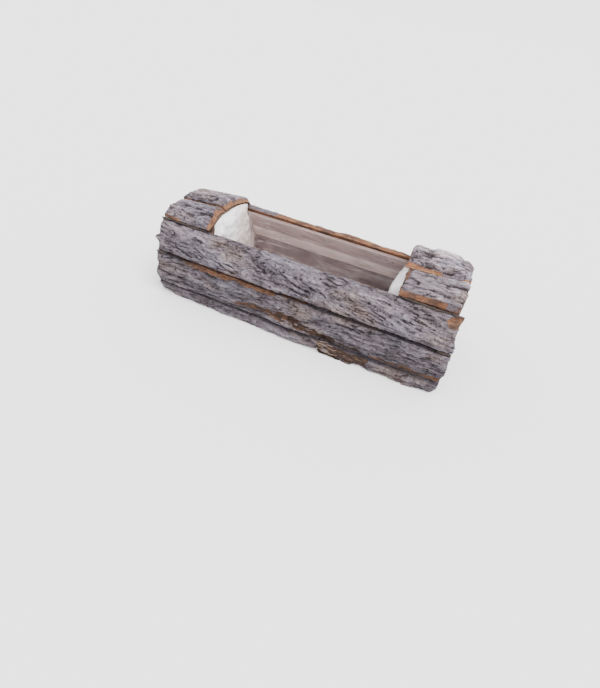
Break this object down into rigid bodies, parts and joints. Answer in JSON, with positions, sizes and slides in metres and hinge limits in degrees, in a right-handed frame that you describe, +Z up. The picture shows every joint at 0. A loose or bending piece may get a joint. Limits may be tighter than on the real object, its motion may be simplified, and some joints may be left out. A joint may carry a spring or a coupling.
{
  "type": "log planter",
  "caption": "Log-shaped planter trough: a board core clad in slabs of bark, with a film-lined opening in its top for plants.",
  "frame": {"origin": "middle of the flat underside that the planter stands on", "axes": "+X along the log, -Y towards its front with the long crack, +Z up out of the opening"},
  "size_m": [0.4141, 0.1618, 0.137],
  "materials": {
    "bark": "rough grey bark, orange-brown where it is cut or torn",
    "board": "rough-sawn weathered board",
    "pale_board": "rough-sawn fresh board",
    "film": "thin clear film, whitish where it is crumpled",
    "staple_steel": "bright galvanised wire"
  },
  "bodies": {
    "root": {"bark_front_upper": "bark", "bark_front_lower": "bark", "bark_front_foot_left": "bark", "bark_front_foot_right": "bark", "bark_back_upper": "bark", "bark_back_lower_left": "bark", "bark_back_lower_right": "bark", "bark_back_foot": "bark", "bark_left_top_front": "bark", "bark_left_top_back": "bark", "bark_right_top_front": "bark", "bark_right_top_back": "bark", "base_board": "board", "end_board_left": "board", "end_board_right": "board", "partition_left": "board", "partition_right": "board", "slat_front_lower": "board", "slat_back_lower": "board", "slat_front_upper": "board", "slat_back_upper": "board", "slat_front_middle": "pale_board", "slat_back_middle": "pale_board", "liner": "film", "staple_front_1": "staple_steel", "staple_front_2": "staple_steel", "staple_front_3": "staple_steel", "staple_back_1": "staple_steel", "staple_back_2": "staple_steel", "staple_back_3": "staple_steel"}
  },
  "joints": []
}
